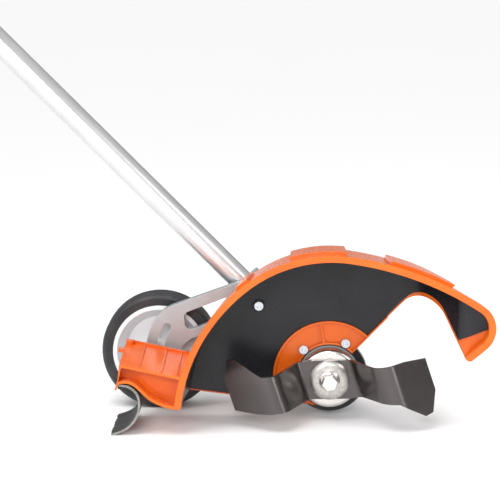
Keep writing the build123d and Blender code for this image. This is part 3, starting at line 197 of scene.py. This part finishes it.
def plastic(name, colour, shade, rough, grain, depth, edge=0.0004, scuffs=0.1, **finish):
    """Moulded plastic: a grain from the mould, faint flow marks, and light scuffs."""
    s = Surface(name, **finish)
    fine = s.noise(grain, detail=2.0)
    flow = s.noise(14.0, detail=2.0, vector=s.stretched((1.0, 2.0, 1.6)))
    hair = s.noise(60.0, detail=6.0, roughness=0.7, vector=s.stretched((1.0, 9.0, 14.0), 0.5))
    tone = s.mix(s.spread(flow, 0.0, 1.0, start=0.35, end=0.65), colour, shade)
    scuffed = [min(1.0, SCUFF_GLINT * c + 0.03) for c in colour]
    tone = s.mix(s.spread(hair, 0.0, scuffs, start=0.6, end=0.75), tone, scuffed)
    dulled = s.spread(hair, 0.0, 0.12, start=0.55, end=0.75)
    gloss = s.sums("ADD", s.spread(fine, *rough), dulled)
    return s.paint(tone, gloss, s.bump(fine, depth, s.rounded(edge)))


def seal_rubber():
    """The shaft's seal: fine mould rings, with a little dust."""
    s = Surface("seal_rubber", specular=0.4)
    fine = s.noise(12.0, vector=turned_at_blade(s))
    dust = s.noise(45.0, detail=5.0, roughness=0.65)
    tone = s.mix(s.spread(dust, 0.0, 0.7, start=0.45, end=0.75), (0.02, 0.02, 0.02), (0.05, 0.045, 0.04))
    return s.paint(tone, s.spread(fine, 0.5, 0.72), s.bump(fine, 0.00002, s.rounded(0.0005)))


def tyre_rubber():
    """The tyre: smooth and a little dusty, with fine mould rings on its sides."""
    s = Surface("tyre_rubber", specular=0.45)
    rings = s.noise(18.0, detail=2.0, vector=turned_at_wheel(s))
    fine = s.noise(1500.0, detail=2.0)
    dust = s.noise(55.0, detail=5.0, roughness=0.65)
    tone = s.mix(s.spread(dust, 0.0, 0.8, start=0.45, end=0.75), (0.022, 0.023, 0.026), (0.05, 0.05, 0.052))
    relief = s.bump(rings, 0.00006, s.rounded(0.0012))
    return s.paint(tone, s.spread(fine, 0.36, 0.55), s.bump(fine, 0.00001, relief))


def flap_face():
    """The flap's faces: rubber with the print of the fabric ply under it, scuffed and dusty."""
    s = Surface("flap_face", specular=0.4)
    thread = {"Vector": s.place, "Scale": 190.0, "Distortion": 0.6, "Detail": 1.0, "Detail Scale": 3.0}
    weave = [s.node("ShaderNodeTexWave", thread, bands_direction=way).outputs["Fac"] for way in ("Y", "Z")]
    cloth = s.sums("MULTIPLY", *weave)
    dust = s.noise(38.0, detail=6.0, roughness=0.7)
    tone = s.mix(s.spread(dust, 0.0, 1.0, start=0.35), (0.030, 0.030, 0.032), (0.065, 0.062, 0.063))
    tone = s.mix(s.spread(cloth, 0.0, 0.35, start=0.2, end=0.9), tone, (0.03, 0.03, 0.03))
    return s.paint(tone, s.spread(dust, 0.42, 0.68), s.bump(cloth, 0.00012))


def flap_edge():
    """The flap's cut edges: light, frayed fabric plies."""
    s = Surface("flap_edge", specular=0.3)
    fray = s.noise(900.0)
    tone = s.mix(s.spread(fray, 0.0, 1.0, start=0.35, end=0.65), (0.34, 0.33, 0.30), (0.14, 0.14, 0.13))
    return s.paint(tone, s.spread(fray, 0.6, 0.85), s.bump(fray, 0.0001))


def floor_paint():
    """The floor: plain and pale, with the faintest mottle."""
    s = Surface("floor_paint", specular=0.2)
    mottle = s.noise(3.0, detail=2.0)
    tone = s.mix(s.spread(mottle, 0.0, 1.0), (0.97, 0.97, 0.97), (0.955, 0.955, 0.958))
    return s.paint(tone, s.spread(mottle, 0.55, 0.62))


# Each finish: its two tones, its range of roughness, and the scale and depth of its grain.
METALS = {
    "tube_aluminium": dict(
        light=(0.72, 0.72, 0.73), dark=(0.62, 0.62, 0.63), rough=(0.30, 0.40),
        grain=5.0, depth=0.000003, vector=drawn, edge=0.0, metallic=0.9),
    "cast_aluminium": dict(
        light=(0.45, 0.48, 0.495), dark=(0.36, 0.38, 0.395), rough=(0.34, 0.50),
        grain=1100.0, depth=0.00004, edge=0.0006, metallic=0.55),
    "zinc_screws": dict(
        light=(0.62, 0.64, 0.67), dark=(0.42, 0.44, 0.47), rough=(0.18, 0.34),
        grain=700.0, depth=0.00001),
    "yellow_zinc": dict(
        light=(0.80, 0.66, 0.34), dark=(0.62, 0.56, 0.40), rough=(0.20, 0.36),
        grain=600.0, depth=0.00001, patches=150.0),
    "bearing_steel": dict(
        light=(0.74, 0.75, 0.77), dark=(0.58, 0.59, 0.60), rough=(0.08, 0.18),
        grain=9.0, depth=0.000003, vector=turned_at_blade),
    "spring_steel": dict(
        light=(0.20, 0.20, 0.23), dark=(0.10, 0.10, 0.12), rough=(0.30, 0.45),
        grain=900.0, depth=0.00001),
    "black_steel": dict(
        light=(0.045, 0.045, 0.048), dark=(0.02, 0.02, 0.02), rough=(0.30, 0.48),
        grain=800.0, depth=0.00002, metallic=0.6),
    "shaft_steel": dict(
        light=(0.60, 0.60, 0.62), dark=(0.42, 0.42, 0.43), rough=(0.20, 0.34),
        grain=6.0, depth=0.00001, vector=drawn),
    "gear_steel": dict(
        light=(0.36, 0.35, 0.35), dark=(0.22, 0.21, 0.20), rough=(0.32, 0.46),
        grain=700.0, depth=0.00002),
    "plated_steel": dict(
        light=(0.80, 0.77, 0.74), dark=(0.66, 0.63, 0.60), rough=(0.24, 0.34),
        grain=10.0, depth=0.000005, vector=turned_at_blade),
    "blade_steel": dict(
        light=(0.100, 0.088, 0.088), dark=(0.085, 0.075, 0.074), rough=(0.20, 0.27),
        grain=5.0, depth=0.000003, vector=rolled, edge=0.0, metallic=0.85, coat=0.2, coat_roughness=0.12),
    "washer_steel": dict(
        light=(0.62, 0.60, 0.57), dark=(0.36, 0.34, 0.32), rough=(0.30, 0.48),
        grain=1100.0, depth=0.00008, patches=300.0),
}
PLASTICS = {
    "mark_paint": dict(
        colour=(0.60, 0.03, 0.02), shade=(0.50, 0.02, 0.02), rough=(0.35, 0.5),
        grain=900.0, depth=0.00001),
    "bush_plastic": dict(
        colour=(0.72, 0.70, 0.62), shade=(0.64, 0.62, 0.54), rough=(0.45, 0.6),
        grain=1200.0, depth=0.00001),
    "guard_plastic": dict(
        colour=(0.74, 0.136, 0.009), shade=(0.69, 0.110, 0.007), rough=(0.20, 0.28),
        grain=700.0, depth=0.0000025, edge=0.0009, coat=0.08, specular=0.30),
    "liner_plastic": dict(
        colour=(0.009, 0.009, 0.011), shade=(0.015, 0.015, 0.018), rough=(0.22, 0.34),
        grain=1000.0, depth=0.00001, edge=0.0006, scuffs=0.03, specular=0.3),
    "hub_plastic": dict(
        colour=(0.80, 0.80, 0.815), shade=(0.74, 0.74, 0.76), rough=(0.26, 0.40),
        grain=900.0, depth=0.00001, edge=0.0007),
}
FINISHES = {
    **{slot: metal(slot, **look) for slot, look in METALS.items()},
    **{slot: plastic(slot, **look) for slot, look in PLASTICS.items()},
    "seal_rubber": seal_rubber(),
    "tyre_rubber": tyre_rubber(),
}

# ---------------------------------------------------------------- finishes on the CAD pieces
for piece in frame["record"]["subparts"]:
    finish = FINISHES.get(piece["material_slot"])
    if finish is not None:
        mesh = frame["nodes"][piece["node"]].data
        mesh.materials.clear()
        mesh.materials.append(finish)

# ---------------------------------------------------------------- the flap
# It is a little thinner than the CAD solid, which leaves room for its waves.
FLAP_HALF = 0.0013485
FLAP_FRONT = -0.0768
FLAP_BACK = -0.0032
# Its middle line, seen from the side and measured from the head: a short flat under the box, a tight
# bend, a long curl and a tail. Each run has a length, or else a radius, then a turn and its steps.
FLAP_START = Vector((-0.2190, 0.0, 0.0070))
FLAP_RUNS = [(0.0050, 0.0, -2.2, 3), (0.0, 0.017, -75.0, 10), (0.0, 0.031, -85.0, 16), (0.0088, 0.0, 0.0, 4)]
FLAP_COLUMNS = 36
# The waves and the chewed edge are in the last part of its length. A wave has a height, rate and phase.
FLAP_WAVY_PART = 0.4
FLAP_WAVES = ((0.00022, 17, 1.3), (0.00012, 41, 0.0))
FLAP_CHEW = 0.0005
FLAP_CHEW_RATES = (29, 13)
FLAP_CHEW_FADE = 6
FLAP_ROUNDING = 0.00035


def flap_line():
    """Points and directions along the middle of the flap's section, from the box to the free edge."""
    spot = FLAP_START.copy()
    heading = 0.0
    stops = [(spot.copy(), heading)]
    for straight, radius, turn, steps in FLAP_RUNS:
        half_turn = math.radians(turn) / steps / 2
        step = straight / steps if radius == 0.0 else 2 * radius * math.sin(abs(half_turn))
        for _ in range(steps):
            heading += half_turn
            spot += step * Vector((math.cos(heading), 0.0, math.sin(heading)))
            heading += half_turn
            stops.append((spot.copy(), heading))
    return stops


def flap_point(spot, heading, side, free, along):
    """A point on a face of the flap: free grows to 1 at its free edge, and along from front to back."""
    ahead = Vector((math.cos(heading), 0.0, math.sin(heading)))
    up = Vector((-math.sin(heading), 0.0, math.cos(heading)))
    depth = Vector((0.0, FLAP_FRONT + (FLAP_BACK - FLAP_FRONT) * along, 0.0))
    wave = free * sum(size * math.sin(rate * along + phase) for size, rate, phase in FLAP_WAVES)
    teeth = 1 + math.prod(math.sin(rate * along) for rate in FLAP_CHEW_RATES)
    chew = FLAP_CHEW * free ** FLAP_CHEW_FADE * teeth
    return HEAD + spot + depth + (side * FLAP_HALF + wave) * up - chew * ahead


def make_flap():
    """A bent sheet of laminated rubber, a little wavy and chewed along its free edge."""
    stops = flap_line()
    last = len(stops) - 1
    row = FLAP_COLUMNS + 1
    sheet = len(stops) * row
    verts = []
    for side in (1, -1):
        for number, (spot, heading) in enumerate(stops):
            free = max(0.0, number / last - (1 - FLAP_WAVY_PART)) / FLAP_WAVY_PART
            verts += [flap_point(spot, heading, side, free, c / FLAP_COLUMNS) for c in range(row)]
    faces = []
    for line in range(last):
        for column in range(FLAP_COLUMNS):
            a = line * row + column
            faces.append((a, a + row, a + row + 1, a + 1))
            faces.append((sheet + a, sheet + a + 1, sheet + a + row + 1, sheet + a + row))
    rim = [line * row for line in range(last)]
    rim += [last * row + column for column in range(FLAP_COLUMNS)]
    rim += [line * row + FLAP_COLUMNS for line in range(last, 0, -1)]
    rim += list(range(FLAP_COLUMNS, 0, -1))
    plies = [(a, sheet + a, sheet + b, b) for a, b in zip(rim, rim[1:] + rim[:1])]
    sheet_mesh = bpy.data.meshes.new("flap_sheet")
    sheet_mesh.from_pydata(verts, [], faces + plies)
    sheet_mesh.materials.append(flap_face())
    sheet_mesh.materials.append(flap_edge())
    for number, polygon in enumerate(sheet_mesh.polygons):
        polygon.material_index = 0 if number < len(faces) else 1
        polygon.use_smooth = number < len(faces)
    made = bpy.data.objects.new("flap_sheet", sheet_mesh)
    bpy.context.collection.objects.link(made)
    rounding = made.modifiers.new("rounding", "BEVEL")
    rounding.width = FLAP_ROUNDING
    rounding.segments = 2
    rounding.limit_method = "ANGLE"
    return made


flap = make_flap()
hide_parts("debris_flap")
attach(flap, "head")

# ---------------------------------------------------------------- floor
floor_mesh = bpy.data.meshes.new("floor")
corners = [(x * FLOOR_REACH, y * FLOOR_REACH, FLOOR_Z) for x, y in ((-1, -1), (1, -1), (1, 1), (-1, 1))]
floor_mesh.from_pydata(corners, [], [(0, 1, 2, 3)])
floor_mesh.materials.append(floor_paint())
floor = bpy.data.objects.new("floor", floor_mesh)
bpy.context.collection.objects.link(floor)

# ---------------------------------------------------------------- light
# The studio: bright overhead, dim at the level of the object, and dimmest on the camera's side.
world = bpy.data.worlds.new("studio")
world.use_nodes = True
sky = world.node_tree
background = sky.nodes["Background"]
background.inputs["Color"].default_value = (1.0, 1.0, 1.0, 1.0)
direction = sky.nodes.new("ShaderNodeTexCoord")
axes = sky.nodes.new("ShaderNodeSeparateXYZ")
sky.links.new(direction.outputs["Generated"], axes.inputs[0])
glow = sky.nodes.new("ShaderNodeMath")
glow.operation = "MULTIPLY"
sky.links.new(glow.outputs[0], background.inputs["Strength"])
# For each axis of the direction: where its smooth step starts and ends, and the glow at both.
STUDIO_STEPS = {"Z": (0.0, 0.8, 0.16, 0.62), "Y": (-0.95, -0.2, 0.25, 1.0)}
for number, (axis, limits) in enumerate(STUDIO_STEPS.items()):
    step = sky.nodes.new("ShaderNodeMapRange")
    step.interpolation_type = "SMOOTHSTEP"
    for limit, value in zip(("From Min", "From Max", "To Min", "To Max"), limits):
        step.inputs[limit].default_value = value
    sky.links.new(axes.outputs[axis], step.inputs["Value"])
    sky.links.new(step.outputs[0], glow.inputs[number])
bpy.context.scene.world = world

SUN_ENERGY = 2.0
SUN_WIDTH = math.radians(40)
SUN_LEAN = (math.radians(16), math.radians(-14), 0.0)
sun = bpy.data.lights.new("overhead", "SUN")
sun.energy = SUN_ENERGY
sun.angle = SUN_WIDTH
overhead = bpy.data.objects.new("overhead", sun)
overhead.rotation_euler = SUN_LEAN
bpy.context.collection.objects.link(overhead)


def softbox(name, place, width, height, power):
    """A rectangular studio light at place, turned towards the head."""
    light = bpy.data.lights.new(name, "AREA")
    light.shape = "RECTANGLE"
    light.size = width
    light.size_y = height
    light.energy = power
    lamp = bpy.data.objects.new(name, light)
    lamp.location = place
    lamp.rotation_euler = (HEAD - Vector(place)).to_track_quat("-Z", "Y").to_euler()
    bpy.context.collection.objects.link(lamp)


softbox("front_light", (0.30, -1.55, 0.15), width=0.8, height=0.5, power=14.5)
softbox("left_light", (-0.75, -1.3, 0.20), width=0.3, height=1.3, power=4.5)
softbox("right_light", (1.7, -1.0, 0.05), width=0.3, height=1.2, power=9.5)

# ---------------------------------------------------------------- camera
# It looks at the front of the head, down by the elevation and to the left by the azimuth.
CAMERA_PLACE = (0.5075, -1.7082, -0.1212)
CAMERA_LENS = 115.2
ELEVATION = math.radians(10.0)
AZIMUTH = math.radians(1.4)
level = math.cos(ELEVATION)
back = Vector((math.sin(AZIMUTH) * level, -math.cos(AZIMUTH) * level, math.sin(ELEVATION)))
camera = bpy.data.objects.new("camera", bpy.data.cameras.new("camera"))
camera.data.sensor_width = 36.0
camera.data.lens = CAMERA_LENS
camera.data.clip_start = 0.05
camera.data.clip_end = 200.0
camera.location = CAMERA_PLACE
camera.rotation_euler = (-back).to_track_quat("-Z", "Y").to_euler()
bpy.context.collection.objects.link(camera)
bpy.context.scene.camera = camera
bpy.context.scene.view_settings.view_transform = "Standard"
